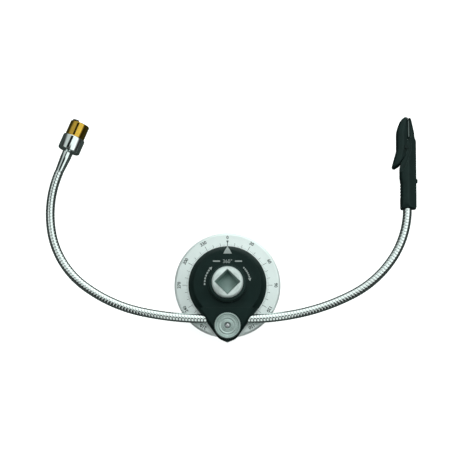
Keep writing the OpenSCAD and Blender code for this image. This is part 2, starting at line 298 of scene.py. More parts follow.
class Shader(Nodes):
    """A node material whose patterns are measured in millimetres of the object's own space."""

    def __init__(self, name, colour, metallic=0.0, roughness=0.5):
        self.material = bpy.data.materials.new(name)
        super().__init__(self.material)
        self.name = name
        self.main = self.tree.nodes["Principled BSDF"]
        self.colour = colour
        self.colour_out = None
        self.bump_from = None
        self.set("Metallic", metallic)
        self.set("Roughness", roughness)
        self.set("Base Color", (*colour, 1))
        place = self.node("TexCoord").outputs["Object"]
        self.space = self.node("VectorMath", (0, place), ("Scale", 1 / MM), operation="SCALE").outputs[0]

    def set(self, name, value):
        self.feed(self.main.inputs[name], value)

    def paint(self, colour):
        self.set("Base Color", colour)
        self.colour_out = colour

    def noise(self, size, detail):
        """Noise with features of about a size in millimetres."""
        inputs = (("Scale", 1 / size), ("Detail", detail), ("Vector", self.space))
        return self.node("TexNoise", *inputs).outputs["Fac"]

    def rings(self, pitch, blur):
        """Turning marks round the object's Z, with a pitch in millimetres."""
        scale = math.pi / 10 / pitch
        inputs = (("Scale", scale), ("Distortion", blur), ("Detail", 1.0), ("Vector", self.space))
        settings = {"wave_type": "RINGS", "rings_direction": "Z", "wave_profile": "SIN"}
        return self.node("TexWave", *inputs, **settings).outputs["Fac"]

    def spread(self, pattern, low, high):
        """A noise pattern's middle values, stretched to between two others."""
        return self.remap(pattern, 0.3, 0.7, low, high)

    def tint(self, share, colour):
        """Moves the base colour towards another by a share."""
        self.paint(self.mix(share, self.colour_out, (*colour, 1)))

    def vary_colour(self, pattern, low, high):
        """Darkens and lightens the base colour between two factors."""
        dark, light = [(*[min(1, c * factor) for c in self.colour], 1) for factor in (low, high)]
        self.paint(self.mix(self.spread(pattern, 0, 1), dark, light))

    def bump(self, pattern, height):
        """Raises the surface by up to a height in millimetres."""
        bump = self.node("Bump", ("Strength", 1.0), ("Distance", height * MM), ("Height", pattern))
        if self.bump_from is not None:
            self.feed(bump.inputs["Normal"], self.bump_from)
        self.bump_from = bump.outputs["Normal"]
        self.set("Normal", self.bump_from)

    def turned(self, strength):
        """Highlights that fan out from the object's middle, as on a face cut in a lathe."""
        self.set("Anisotropic", strength)
        self.set("Tangent", self.node("Tangent", direction_type="RADIAL", axis="Z").outputs["Tangent"])

    def edge_wear(self, brighter, width):
        """Lightens sharp edges, partly as polish wear from handling and partly as a painted highlight."""
        bevel = self.node("Bevel", ("Radius", width * MM), samples=4).outputs["Normal"]
        normal = self.node("NewGeometry").outputs["Normal"]
        same = self.node("VectorMath", (0, bevel), (1, normal), operation="DOT_PRODUCT").outputs["Value"]
        self.tint(self.remap(same, 0.995, 0.9), brighter)


def finish(name, colour, metallic, mottle, sheen=None, turning=0.0, rings=None, grain=None, gloss=None,
           wear_and_highlight=None):
    """Procedural finish from patterns that start with a size in mm and a noise's detail or a ring's blur.

    Mottle ends with low and high colour factors, sheen with low and high roughness, rings and grain with
    a height. Gloss is a dielectric's specular level and tint; the last argument is the colour and width of
    edges painted lighter, partly as polish wear and partly as a painted highlight.
    """
    made = Shader(name, colour, metallic, 0.6)
    if gloss:
        made.set("Specular IOR Level", gloss[0])
        made.set("Specular Tint", (*gloss[1], 1))
    made.vary_colour(made.noise(*mottle[:2]), *mottle[2:])
    if sheen:
        made.set("Roughness", made.spread(made.noise(*sheen[:2]), *sheen[2:]))
    if turning:
        made.turned(turning)
    if rings:
        made.bump(made.rings(*rings[:2]), rings[2])
    if grain:
        made.bump(made.noise(*grain[:2]), grain[2])
    # Edges painted lighter, partly as wear and partly as a painted highlight.
    if wear_and_highlight:
        made.edge_wear(*wear_and_highlight)
    return made


def steel(name, colour, roughness, turning=0.0, pitch=0.12, groove=0.004):
    sheen = (0.6, 4, roughness - 0.05, roughness + 0.07)
    rings = (pitch, 0.4, groove) if turning else None
    return finish(name, colour, 1.0, (5, 3, 0.9, 1.06), sheen, turning, rings, (0.08, 2, 0.0006))


def chrome(name, colour):
    return finish(name, colour, 1.0, (14, 3, 0.94, 1.03), (1.5, 5, 0.03, 0.09), grain=(0.5, 3, 0.0004))


def print_ink(name, colour):
    return finish(name, colour, 0.0, (0.5, 4, 0.8, 1.15))


def hub_steel():
    """Turned face with a painted highlight on its lighter rim and painted shade deeper in its square mouth."""
    sheen = (0.6, 4, 0.36, 0.46)
    made = finish("turned_steel", (0.82, 0.93, 0.9), 1.0, (5, 3, 0.9, 1.06), sheen, 0.9, (0.12, 0.4, 0.004))
    height = made.node("SeparateXYZ", (0, made.space)).outputs["Z"]
    # Painted shade: the square mouth darkens with depth.
    made.tint(made.product(made.ramp(height, 25, 12), made.ramp(height, 5, 8)), (0.36, 0.48, 0.45))
    # Painted highlight: the rim is made lighter and less metallic so it reads bright all round.
    flat = made.node("VectorMath", (0, made.space), (1, (1, 1, 0)), operation="MULTIPLY").outputs[0]
    radius = made.node("VectorMath", (0, flat), operation="LENGTH").outputs["Value"]
    rim = made.product(made.ramp(radius, 10.7, 11.0), made.ramp(height, 19, 21))
    made.tint(rim, (0.78, 0.88, 0.86))
    made.set("Metallic", made.remap(rim, 0, 1, 1.0, 0.25))
    return made


FINISHES = [
    hub_steel(),
    steel("nut_steel", (0.46, 0.57, 0.54), 0.3, 0.8, 0.5, 0.003),
    steel("washer_steel", (0.55, 0.57, 0.57), 0.3, 0.5),
    steel("stud_steel", (0.5, 0.52, 0.53), 0.26),
    steel("clamp_steel", (0.2, 0.26, 0.25), 0.3),
    steel("black_spring_steel", (0.02, 0.03, 0.029), 0.36),
    steel("spring_wire", (0.4, 0.4, 0.42), 0.25),
    steel("dark_wire", (0.07, 0.08, 0.08), 0.3),
    steel("strip_steel", (0.16, 0.2, 0.19), 0.32),
    steel("magnet_nickel", (0.5, 0.49, 0.46), 0.25),
    steel("pole_steel", (0.07, 0.06, 0.05), 0.35),
    chrome("chrome", (0.78, 0.87, 0.85)),
    chrome("gooseneck", (0.8, 0.88, 0.86)),
    finish("brass", (0.66, 0.42, 0.06), 1.0, (3, 4, 0.8, 1.1), (0.8, 4, 0.08, 0.18),
           rings=(0.25, 0.5, 0.0006)),
    finish("bronze", (0.42, 0.26, 0.13), 1.0, (0.7, 4, 0.7, 1.1), (0.5, 3, 0.34, 0.5)),
    finish("dial_aluminium", (0.86, 0.95, 0.93), 1.0, (22, 3, 0.96, 1.03), (0.35, 5, 0.36, 0.48), 0.35,
           grain=(0.1, 3, 0.0012)),
    # The housing and clip plastics get edges painted lighter, partly as wear and partly as a painted highlight.
    finish("black_anodised", (0.006, 0.017, 0.015), 0.0, (9, 3, 0.85, 1.2), (0.5, 4, 0.36, 0.5),
           grain=(0.16, 4, 0.004), gloss=(0.18, (0.72, 1, 0.95)), wear_and_highlight=((0.03, 0.045, 0.042), 0.35)),
    finish("black_plastic", (0.005, 0.012, 0.011), 0.0, (4, 3, 0.8, 1.3), (0.5, 3, 0.32, 0.5),
           rings=(0.3, 0.3, 0.004), gloss=(0.5, (0.6, 1, 0.93))),
    finish("clip_plastic", (0.004, 0.012, 0.011), 0.0, (6, 3, 0.8, 1.25), (0.4, 4, 0.3, 0.44),
           grain=(0.22, 4, 0.008), gloss=(0.3, (0.7, 1, 0.94)), wear_and_highlight=((0.03, 0.05, 0.046), 0.5)),
    print_ink("dial_ink", (0.06, 0.09, 0.085)),
    print_ink("housing_ink", (0.45, 0.52, 0.5)),
]
M = {made.name: made.material for made in FINISHES}


def paint_cad_nodes():
    """Gives each CAD node that stays in view its record slot's material."""
    for part in frame["record"]["subparts"]:
        obj = frame["nodes"][part["node"]]
        obj.data.materials.clear()
        obj.data.materials.append(M[part["material_slot"]])
        smooth(obj, 30)


# -------- gooseneck

ARM_AXIS = Vector(JOINTS["arm_roll"]["pos_m"]) / MM
STRAIGHT = 16.0
SECTIONS = {
    "left": {"length": 48.4, "turns": (12, 25, 42.5, 33.5), "mirror": -1},
    "right": {"length": 40.8, "turns": (13, 14.7, 29, 33.3), "mirror": 1},
}
HOSE_R = width_of("arm_middle", 2) / 2
RIB_PITCH = 2.35
RIB_DEPTH = 0.18
TAIL = {"left": -0.2, "right": 3.0}


def arm_point(side, distance):
    """Place and heading on an arm's centreline, a distance along it from the clamp's middle."""
    arm = SECTIONS[side]
    x, y, angle = min(distance, STRAIGHT), 0.0, 0.0
    left = distance - STRAIGHT
    for turn in arm["turns"]:
        if left <= 0:
            break
        part = min(left, arm["length"])
        radius = arm["length"] / math.radians(turn)
        new_angle = angle + part / radius
        x += radius * (math.sin(new_angle) - math.sin(angle))
        y += radius * (math.cos(angle) - math.cos(new_angle))
        angle = new_angle
        left -= part
    if left > 0:
        x += left * math.cos(angle)
        y += left * math.sin(angle)
    place = Vector((arm["mirror"] * x, ARM_AXIS.y + y, ARM_AXIS.z))
    return place, Vector((arm["mirror"] * math.cos(angle), math.sin(angle), 0))


def route_point(distance):
    """The same for the whole hose, with distances to the left arm negative. Heading is always rightwards."""
    if distance < 0:
        place, heading = arm_point("left", -distance)
        return place, -heading
    return arm_point("right", distance)


def arm_length(side):
    return STRAIGHT + 4 * SECTIONS[side]["length"]


def rib_radius(distance, turn):
    """Radius of the wound hose: one helical groove between rounded turns of wire."""
    phase = (distance / RIB_PITCH - turn / (2 * math.pi)) % 1
    return HOSE_R - RIB_DEPTH * abs(2 * phase - 1) ** 6


def hose(name, start, end, material, around=40):
    """Wound hose between two distances along the route, with closed ends."""
    steps = max(8, round((end - start) / RIB_PITCH * 13))
    turns = [2 * math.pi * k / around for k in range(around)]
    rings = []
    for i in range(steps + 1):
        distance = start + (end - start) * i / steps
        place, heading = route_point(distance)
        spokes = [Vector((-heading.y * math.cos(t), heading.x * math.cos(t), math.sin(t))) for t in turns]
        rings.append([place + spoke * rib_radius(distance, t) for spoke, t in zip(spokes, turns)])
    return add_mesh(name, *loft(rings), material, 60)


def make_gooseneck():
    """A middle piece that rides on the clamp's arm body, and three pieces an arm, each round one of its joints."""
    blend_reach = 15.0
    middle_ends = {}
    for side in ("left", "right"):
        sign = SECTIONS[side]["mirror"]
        length = SECTIONS[side]["length"]
        middles = [STRAIGHT + (k + 0.5) * length for k in range(3)] + [arm_length(side) + TAIL[side]]
        middle_ends[side] = sign * middles[0]
        for k in range(3):
            a, b = sorted((sign * middles[k], sign * middles[k + 1]))
            piece = hose(f"{side}_gooseneck_{k + 1}", a, b, M["gooseneck"])
            joint = STRAIGHT + (k + 1) * length + 2
            start = arm_point(side, joint - blend_reach)[0] * MM
            finish = arm_point(side, joint + blend_reach)[0] * MM
            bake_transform(piece)
            nodes = [f"{side}_flex_{k + 1}", f"{side}_arm_{k + 2}"]
            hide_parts(*nodes)
    middle = hose("gooseneck_middle", middle_ends["left"], middle_ends["right"], M["gooseneck"])
    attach(middle, "arm")
    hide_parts("arm_middle", "left_arm_1", "right_arm_1")


# -------- housing

DIAL_TOP = 7.0
BIG_R = 29.5
NOSE_R = 10.4
NOSE_Y = 32.8
WALL_Z = 9.5
NOSE_WALL_Z = 14.6
FACE_Z = 15.0
NOSE_Z = 17.0
STEP_Y = 18.6
BEVEL_SLOPE = 1.375
HOUSING_Z = bottom_of("housing")
HOSE_Y = 26.3
HOSE_Z = 12.2
NUT_PLACE = Matrix.Translation((0, -NOSE_Y * MM, 0))
ALONG_X = Matrix(((0, 0, 1, 0), (1, 0, 0, 0), (0, 1, 0, 0), (0, 0, 0, 1)))


def teardrop(inset, height):
    """Ring round the drive axis and the nose, moved inwards by an inset."""
    lean = math.degrees(math.asin((BIG_R - NOSE_R) / NOSE_Y))
    ring = []
    arcs = ((BIG_R - inset, 0, -lean, 180 + lean, 132), (NOSE_R - inset, -NOSE_Y, 180 + lean, 360 - lean, 48))
    for radius, centre, start, end, steps in arcs:
        for k in range(steps + 1):
            turn = math.radians(start + (end - start) * k / steps)
            ring.append((*polar(radius, turn, (0, centre)), height))
    return ring


def housing_block(name, wall, top):
    """The teardrop with an upright wall, a bevel above it and softened edges."""
    inset = (top - wall) / BEVEL_SLOPE
    corners = [(0.9, HOUSING_Z), (0, HOUSING_Z), (0, wall), (inset, top), (inset + 1.2, top)]
    profile = rounded_corners(corners, 0.5, 4, closed=False)
    return add_mesh(name, *loft([teardrop(a, z) for a, z in profile]), M["black_anodised"], 28)


def soften_level(obj, level, width):
    """Rounds the edges that lie at one height."""
    work = bmesh.new()
    work.from_mesh(obj.data)
    edges = [e for e in work.edges if all(abs(v.co.z - level * MM) < 1e-7 for v in e.verts)]
    bmesh.ops.bevel(work, geom=edges, offset=width * MM, segments=3, profile=0.5, affect="EDGES")
    work.to_mesh(obj.data)
    work.free()


def groove_outline(radius):
    """Section of the hose's way in: an arch over an open slot, in Y and Z."""
    arch = [math.pi * k / 32 for k in range(33)]
    sides = [(-HOSE_Y - radius, 0), (-HOSE_Y + radius, 0)]
    return sides + [polar(radius, t, (-HOSE_Y, HOSE_Z)) for t in arch]


def make_housing():
    """Bevelled teardrop with a raised nose, a collar round the bush and room for the clamp below."""
    material = M["black_anodised"]
    shell = housing_block("housing_shell", WALL_Z, FACE_Z)
    nose = housing_block("nose", NOSE_WALL_Z, NOSE_Z)
    cut(nose, block("behind", (-60, -STEP_Y, 0), (60, 60, 40), material))
    cut(shell, block("ahead", (-60, -80, 0), (60, -STEP_Y - 0.02, 40), material))
    boolean(shell, nose, "UNION")
    seat = [(0, 11), (7, 11), (7, NOSE_Z + 0.02), (0, NOSE_Z + 0.02)]
    boolean(shell, lathe("seat", seat, material, 96, place=NUT_PLACE), "UNION")
    collar = [(0, 12), (14.6, 12), (14.6, 18.3), (0, 18.3)]
    boolean(shell, lathe("collar", collar, material, 160, 0.35), "UNION")
    cut(shell, block("pocket", (-50, -70, 0), (50, -21, 10.7), material))
    cut(shell, prism("groove", groove_outline(HOSE_R + 0.05), -50, 50, material, place=ALONG_X))
    cut(shell, rod("stud_hole", 2.1, (0, -NOSE_Y, 0), (0, -NOSE_Y, 40), material))
    bore = [(0, 0), (15, 0), (15, 9.25), (13.2, 9.25), (13.2, 40), (0, 40)]
    cut(shell, lathe("bore", bore, material, 160))
    soften_level(shell, FACE_Z, 0.3)
    smooth(shell, 28)
    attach(shell, "holder")
    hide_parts("housing")


def make_bush():
    """Plastic bearing whose flange shows as a dark ring round the hub."""
    low, high = bottom_of("shaft_bush"), top_of("shaft_bush")
    profile = [(10.8, low), (13.2, low), (13.2, 18.3), (13.6, 18.3), (13.6, high), (10.8, high)]
    bush = lathe("bush", profile, M["black_plastic"], 160, 0.25)
    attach(bush, "holder")
    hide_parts("shaft_bush")


def housing_height(x, y):
    """Height of the housing's upper surface behind its nose."""
    return min(FACE_Z, WALL_Z + BEVEL_SLOPE * (BIG_R - math.hypot(x, y)))


PRINT = 0.03


def pointer():
    """Triangle printed from the housing's rim, over its bevel and onto its face."""
    tip, base, half_width, rows = 29.3, 22.9, 3.2, 20
    rings = []
    for k in range(rows + 1):
        y = base + (tip - base) * k / rows
        half = max(0.05, half_width * (tip - y) / (tip - base))
        xs = [half * t / 3 for t in range(-3, 4)]
        ring = [(x, y, housing_height(x, y) - 0.2) for x in xs]
        ring += [(x, y, housing_height(x, y) + PRINT) for x in reversed(xs)]
        rings.append(ring)
    return loft(rings)


def arc_mark(radius, width, start, end, low, high):
    """Solid stretch of a ring between two angles in degrees."""
    steps = max(2, round(abs(end - start) / 3))
    turns = [math.radians(start + (end - start) * k / steps) for k in range(steps + 1)]
    outer = [polar(radius + width / 2, t) for t in turns]
    inner = [polar(radius - width / 2, t) for t in turns]
    outline = outer + inner[::-1]
    return slab(outline if end > start else outline[::-1], low, high)


def arrow_head(radius, angle, length, width, low, high):
    """Triangle on a ring, whose point leads clockwise."""
    a, b = math.radians(angle), math.radians(angle - math.degrees(length / radius))
    return slab([polar(radius - width / 2, a), polar(radius, b), polar(radius + width / 2, a)], low, high)


def numeral(text, height, place, low, high, bold=0.0):
    """Figures of a height in millimetres, raised between two levels and placed by a matrix in the plane."""
    curve = bpy.data.curves.new("figures", "FONT")
    curve.body = text
    curve.align_x = "CENTER"
    curve.align_y = "CENTER"
    curve.resolution_u = 3
    curve.offset = bold
    curve.extrude = 0.5
    made = new_object("figures", curve)
    bpy.context.view_layer.update()
    mesh = bpy.data.meshes.new_from_object(made)
    work = bmesh.new()
    work.from_mesh(mesh)
    bmesh.ops.remove_doubles(work, verts=work.verts, dist=1e-5)
    lowest = min(v.co.y for v in work.verts)
    tall = max(v.co.y for v in work.verts) - lowest
    scale = height / tall
    points = []
    for v in work.verts:
        flat = place @ Vector((v.co.x * scale, (v.co.y - lowest) * scale - height / 2, 0))
        points.append((flat.x, flat.y, high if v.co.z > 0 else low))
    faces = [[v.index for v in face.verts] for face in work.faces]
    work.free()
    bpy.data.objects.remove(made)
    bpy.data.meshes.remove(mesh)
    return points, faces


def make_housing_marks():
    """Pointer, the scale's range and arrows that show the turning direction, printed in light grey."""
    low, high = FACE_Z - 0.2, FACE_Z + PRINT
    solids = [pointer(), numeral("360°", 2.9, Matrix.Translation((0, 17.1, 0)), low, high)]
    for side in (-1, 1):
        x0, x1 = sorted((side * 5.6, side * 11))
        solids.append(slab([(x0, 16.6), (x1, 16.6), (x1, 17.6), (x0, 17.6)], low, high))
    for start, end in ((184, 140), (46, 14)):
        dashes = 6
        pitch = (end - start) / dashes
        for k in range(dashes):
            solids.append(arc_mark(17.2, 1.1, start + pitch * k, start + pitch * (k + 0.72), low, high))
        solids.append(arrow_head(17.2, end, 2.4, 2.6, low, high))
    marks = add_mesh("housing_marks", *merge(solids), M["housing_ink"], 30)
    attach(marks, "holder")


# -------- dial

def make_dial():
    """Thin disc with a chamfered rim on a central boss."""
    edge = width_of("dial") / 2
    boss_low, boss_top, under = bottom_of("dial"), top_of("dial"), DIAL_TOP - 2
    boss_r, bore_r = 14, 9.05
    profile = [(bore_r, boss_low), (boss_r, boss_low), (boss_r, under), (38.8, under), (edge - 0.5, under),
               (edge, under + 0.5), (edge, DIAL_TOP - 0.8), (edge - 1.6, DIAL_TOP), (boss_r, DIAL_TOP),
               (boss_r, boss_top), (bore_r, boss_top)]
    dial = lathe("dial_disc", profile, M["dial_aluminium"], 240, 0.18)
    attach(dial, "dial")
    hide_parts("dial")


def tick(angle, start, end, width, low, high):
    """Radial line at an angle clockwise from the top."""
    turn = math.radians(90 - angle)
    along = Vector(polar(1, turn))
    aside = Vector((-along.y, along.x)) * width / 2
    corners = [along * start - aside, along * end - aside, along * end + aside, along * start + aside]
    return slab([tuple(c) for c in corners], low, high)


def zero_mark(low, high):
    """Thicker line with a flat arrow head that shows where the scale starts."""
    outline = [(-0.25, 30), (0.25, 30), (0.25, 32.4), (0.95, 34.2), (-0.95, 34.2), (-0.25, 32.4)]
    return slab(outline, low, high)


def make_dial_marks():
    """Degree scale that counts clockwise, with a number every 30 degrees."""
    low, high = DIAL_TOP - 0.2, DIAL_TOP + PRINT
    solids = [zero_mark(low, high)]
    kinds = ((30, 34, 0.3), (10, 32.6, 0.26), (2, 31.2, 0.12))
    for angle in range(2, 360, 2):
        end, width = next((end, width) for step, end, width in kinds if angle % step == 0)
        solids.append(tick(angle, 30, end, width, low, high))
    for angle in range(0, 360, 30):
        turn = Matrix.Rotation(math.radians(-angle), 4, "Z") @ Matrix.Translation((0, 36.6, 0))
        solids.append(numeral(str(angle), 2.6, turn, low, high, 0.03))
    marks = add_mesh("dial_marks", *merge(solids), M["dial_ink"], 30)
    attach(marks, "dial")


# -------- drive shaft

def square_loft(levels):
    """Square solid with its corners on the axes, through (half diagonal, height) levels."""
    return loft([[(r, 0, z), (0, r, z), (-r, 0, z), (0, -r, z)] for r, z in levels])


def make_shaft():
    """Hub with a square mouth, turned shaft and square end with a hole for the detent ball."""
    material = M["turned_steel"]
    hub, rim = width_of("drive_shaft") / 2, 0.9
    top, low = top_of("drive_shaft"), bottom_of("drive_shaft")
    profile = [(0, -0.4), (8.6, -0.4), (9, 0), (9, 1), (8.5, 1), (8.5, 2.3), (9, 2.3), (9, 8.9), (10.75, 8.9),
               (10.75, 19.5), (hub, 19.5), (hub, top - rim), (hub - rim, top), (0, top)]
    shaft = lathe("shaft", profile, material, 192, 0.14)
    bar = [(0, low), (7.05, low), (8.45, low + 1.2), (8.45, 0.5), (0, 0.5)]
    end = lathe("square_end", bar, material, 192, 0.2)
    half = 12.7 / math.sqrt(2)
    boolean(end, add_mesh("square", *square_loft([(half, low - 1), (half, 1)]), material), "INTERSECT")
    boolean(shaft, end, "UNION")
    mouth = 12.8 / math.sqrt(2)
    levels = [(mouth, 9.5), (mouth, top - 0.8), (mouth + 0.85, top + 0.1)]
    cut(shaft, add_mesh("socket", *square_loft(levels), material))
    across = Vector((1, 1, 0)).normalized()
    middle = Vector((0, 0, low / 2))
    cut(shaft, rod("ball_hole", 2.05, middle - across * 1.6, middle + across * 12, material))
    smooth(shaft, 30)
    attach(shaft, "shaft")
    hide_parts("drive_shaft")


# -------- clamp

KNURLS = 44


def knurl(radius, turn):
    """Straight knurling on the nut's rim only."""
    if radius < 9.9:
        return radius
    return radius - 0.34 * abs(math.cos(turn * KNURLS / 2)) ** 3


def make_nut():
    low, top = bottom_of("thumb_nut"), top_of("thumb_nut")
    rim = width_of("thumb_nut") / 2
    rings = [(9.5, 0), (8.7, 0), (8.2, 0.8), (7.6, 0.75), (7.2, 1), (6.7, 1), (6.3, 0.7), (5.5, 0.75),
             (5.1, 0.95), (4.7, 0.95), (4.3, 0.7), (3.7, 0.75), (3.4, 0.3), (2.6, 0.3), (2.05, 0.9)]
    profile = [(2.05, low), (6, low), (6, low + 0.6), (9.5, low + 0.6), (rim, low + 1.1), (rim, top - 0.55)]
    profile += [(radius, top - depth) for radius, depth in rings]
    nut = lathe("nut", profile, M["nut_steel"], KNURLS * 8, 0.1, NUT_PLACE, 40, knurl)
    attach(nut, "nut")
    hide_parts("thumb_nut")


def make_stud():
    """Countersunk stud whose domed end shows in the nut."""
    low, top = bottom_of("clamp_stud"), top_of("clamp_stud")
    dome = [(2 * math.cos(a), top - 1.1 + 1.1 * math.sin(a)) for a in [math.pi / 2 * k / 8 for k in range(8)]]
    profile = [(0, low), (3.5, low), (3.6, low + 0.1), (2, low + 1.6), *dome, (0, top)]
    stud = lathe("stud", profile, M["stud_steel"], 64, place=NUT_PLACE)
    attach(stud, "clamp_jaw")
    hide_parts("clamp_stud")


def make_clamp_plate():
    """Lower half of the clamp, with the hose's groove and a small point at its tip."""
    material = M["clamp_steel"]
    low, high = bottom_of("clamp_plate"), top_of("clamp_plate")
    back, inset, point_angle = 21.3, 0.2, 24
    nose = [(x, y) for x, y, z in teardrop(inset, 0) if y < -back]
    apart = (NOSE_R - inset) * math.sin(math.radians(point_angle))
    left = [p for p in nose if p[0] < -apart or (p[0] < 0 and p[1] > -NOSE_Y)]
    right = [p for p in nose if p[0] > apart or (p[0] > 0 and p[1] > -NOSE_Y)]
    lean = math.asin((BIG_R - NOSE_R) / NOSE_Y)
    reach = (BIG_R - inset - back * math.sin(lean)) / math.cos(lean)
    outline = left + [(0, -NOSE_Y - NOSE_R - 0.7)] + right + [(reach, -back), (-reach, -back)]
    plate = prism("clamp_lower", outline, low, high, material, 30)
    round_edges(plate, 0.3, 2, 40)
    cut(plate, rod("groove", HOSE_R + 0.05, (-50, -HOSE_Y, HOSE_Z), (50, -HOSE_Y, HOSE_Z), material))
    cut(plate, rod("hole", 2, (0, -NOSE_Y, 0), (0, -NOSE_Y, 40), material))
    sink = [(0, low - 0.1), (3.7, low - 0.1), (2, low + 1.6), (0, low + 1.6)]
    cut(plate, lathe("sink", sink, material, 64, place=NUT_PLACE))
    smooth(plate, 30)
    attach(plate, "clamp_jaw")
    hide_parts("clamp_plate")


# -------- magnet end

def end_frame(side):
    """Matrix at an arm's end, with Z along the arm and X downwards."""
    place, heading = arm_point(side, arm_length(side))
    down = Vector((0, 0, -1))
    turn = Matrix((down, heading.cross(down), heading)).transposed()
    return Matrix.Translation(place * MM) @ turn.to_4x4()


def make_magnet_end():
    place = end_frame("left")
    ferrule, cup, top = 17.0, 11.6, 40.0
    cup_r, sleeve_r = 8.6, 7.5

    neck = [(0, -0.1), (3.05, -0.1), (3.25, 0.25), (3.3, 1.2), (3.95, 10.5), (4, 12), (4, ferrule),
            (0, ferrule)]
    rim, inner, floor = ferrule + cup, sleeve_r + 0.02, ferrule + 3
    wall = [(0, ferrule), (cup_r - 0.8, ferrule), (cup_r, ferrule + 0.8), (cup_r, rim - 0.5),
            (cup_r - 0.3, rim), (inner, rim), (inner, floor), (1.55, floor), (1.55, ferrule + 0.6),
            (0, ferrule + 0.6)]
    bore, lip = sleeve_r - 0.9, sleeve_r + 0.3
    shield = [(bore, floor), (sleeve_r - 0.05, floor), (sleeve_r - 0.05, rim), (lip, rim + 0.02),
              (lip, rim + 0.4), (sleeve_r, rim + 0.5), (sleeve_r, top - 0.5), (sleeve_r - 0.4, top),
              (bore, top)]
    for name, node, profile, finish_name, segments, soft in (
            ("magnet_neck", "magnet_ferrule", neck, "chrome", 96, 0.2),
            ("magnet_housing", "magnet_cup", wall, "chrome", 128, 0.22),
            ("magnet_sleeve", "brass_sleeve", shield, "brass", 128, 0.14)):
        piece = lathe(name, profile, M[finish_name], segments, soft, place)
        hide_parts(node)
        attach(piece, "left_4")

    inner_r, half_gap, low = sleeve_r - 0.95, 1.2, ferrule + 5.1
    for name, sign, high in (("left_pole", 1, top + 1.2), ("right_pole", -1, top + 0.2)):
        chord = math.degrees(math.asin(half_gap / inner_r))
        turns = [math.radians(chord + (180 - 2 * chord) * k / 40) for k in range(41)]
        outline = [polar(inner_r, sign * t) for t in turns][::sign]
        piece = prism(f"{name}_piece", outline, low, high, M["pole_steel"], 30, place)
        round_edges(piece, 0.35, 3, 40)
        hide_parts(name)
        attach(piece, "left_4")


# -------- clip

HALF_T = 5.5


def clip_frame():
    """Matrix at the right arm's end, with Y along the arm and Z up."""
    place, heading = arm_point("right", arm_length("right"))
    turn = Matrix((Vector((heading.y, -heading.x, 0)), heading, Vector((0, 0, 1)))).transposed()
    return Matrix.Translation(place * MM) @ turn.to_4x4()


def sides_of(outline):
    """Each side of a closed outline as its two ends."""
    corners = [Vector(p) for p in outline]
    return list(zip(corners, corners[1:] + corners[:1]))


def resampled(outline, step):
    """The outline with points about a step apart."""
    result = []
    for a, b in sides_of(outline):
        count = max(1, round((b - a).length / step))
        result += [tuple(a.lerp(b, k / count)) for k in range(count)]
    return result


def edge_distance(point, outline):
    best = 1e9
    for a, b in sides_of(outline):
        along = b - a
        t = min(1, max(0, (point - a).dot(along) / along.length_squared))
        best = min(best, (point - a - along * t).length)
    return best


def is_inside(point, outline):
    inside = False
    for (x0, y0), (x1, y1) in zip(outline, outline[1:] + outline[:1]):
        if (y0 > point.y) != (y1 > point.y) and point.x < (x1 - x0) * (point.y - y0) / (y1 - y0) + x0:
            inside = not inside
    return inside


def line_x(line, y):
    """Where a line of (y, x) points, in order of rising y, stands at a height."""
    for (y0, x0), (y1, x1) in zip(line, line[1:]):
        if y <= y1:
            return x0 + (x1 - x0) * max(0, y - y0) / (y1 - y0)
    return line[-1][1]


def moulding(name, outline, edge_z, soft, crown, material, place, folds, slope):
    """Moulded plastic piece: an outline with soft edges whose faces rise a little towards their middle.

    Each fold is a side (-1 left, 1 right) and a line of (y, x) points, and the face falls away beyond it.
    """
    outline = resampled(outline, 0.8)
    count = len(outline)
    spots = [Vector(p) for p in outline]
    for inset in (0.2, 0.5, 0.9, 1.4):
        for i in range(count):
            along = Vector(outline[(i + 1) % count]) - Vector(outline[i - 1])
            spot = Vector(outline[i]) + Vector((-along.y, along.x)).normalized() * inset
            if is_inside(spot, outline) and edge_distance(spot, outline) > inset * 0.93:
                spots.append(spot)
    xs, ys = [p[0] for p in outline], [p[1] for p in outline]
    cell = 1.0
    for row in range(int((max(ys) - min(ys)) / cell)):
        for column in range(int((max(xs) - min(xs)) / cell)):
            spot = Vector((min(xs) + (column + 0.5 * (row % 2) + 0.3) * cell, min(ys) + (row + 0.5) * cell))
            near_fold = min(abs(spot.x - line_x(line, spot.y)) for side, line in folds) < 0.55
            if is_inside(spot, outline) and edge_distance(spot, outline) > 2 and not near_fold:
                spots.append(spot)
        for side, line in folds:
            y = min(ys) + (row + 0.5) * cell
            spot = Vector((line_x(line, y), y))
            if is_inside(spot, outline) and edge_distance(spot, outline) > 1.7:
                spots.append(spot)
    flat, _, faces, _, _, _ = delaunay_2d_cdt(spots, [], [list(range(count))], 1, 1e-4)
    points = []
    for spot in flat:
        distance = edge_distance(spot, outline)
        rise = 1 - (1 - min(1, distance / soft)) ** 2
        height = edge_z + (HALF_T - crown - edge_z) * rise + crown * min(1, distance / 4.2)
        beyond = max([0] + [side * (spot.x - line_x(line, spot.y)) for side, line in folds])
        height = min(height, HALF_T - slope * beyond)
        points.append((spot.x, spot.y, height))
    total = len(points)
    points += [(x, y, -z) for x, y, z in points]
    uses = {}
    for face in faces:
        for i, a in enumerate(face):
            b = face[(i + 1) % len(face)]
            uses.setdefault((min(a, b), max(a, b)), []).append((a, b))
    walls = [[b, a, a + total, b + total] for pairs in uses.values() if len(pairs) == 1 for a, b in pairs]
    under = [[k + total for k in reversed(face)] for face in faces]
    return add_mesh(name, points, [list(face) for face in faces] + under + walls, material, 50, place)


